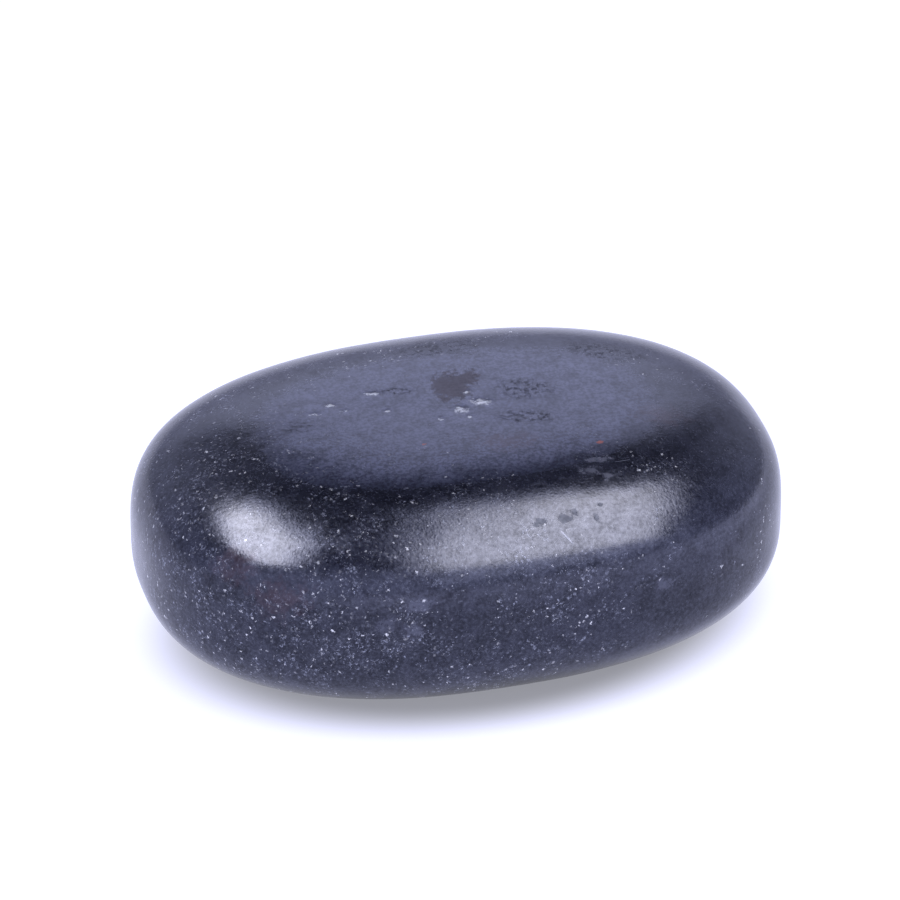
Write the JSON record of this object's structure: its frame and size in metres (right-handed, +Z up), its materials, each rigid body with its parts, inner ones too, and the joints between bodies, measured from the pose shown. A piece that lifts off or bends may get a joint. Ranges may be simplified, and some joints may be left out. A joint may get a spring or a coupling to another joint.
{
  "type": "massage stone",
  "caption": "Smooth oblong pebble of polished dark basalt, flat-topped and full-sided, with a small flat worn on its underside, for warming and laying on the body.",
  "frame": {"origin": "middle of the worn flat on the underside, which is also the middle of the stone's bottom face", "axes": "+X along the stone's length, +Y across its width, +Z up from the surface it rests on to its crown"},
  "size_m": [0.08, 0.0558, 0.0288],
  "materials": {
    "basalt": "tumbled and polished basalt, blue-black, satin, with fine pale mineral specks, small pits and faint marks"
  },
  "bodies": {
    "root": {"stone": "basalt"}
  },
  "joints": []
}
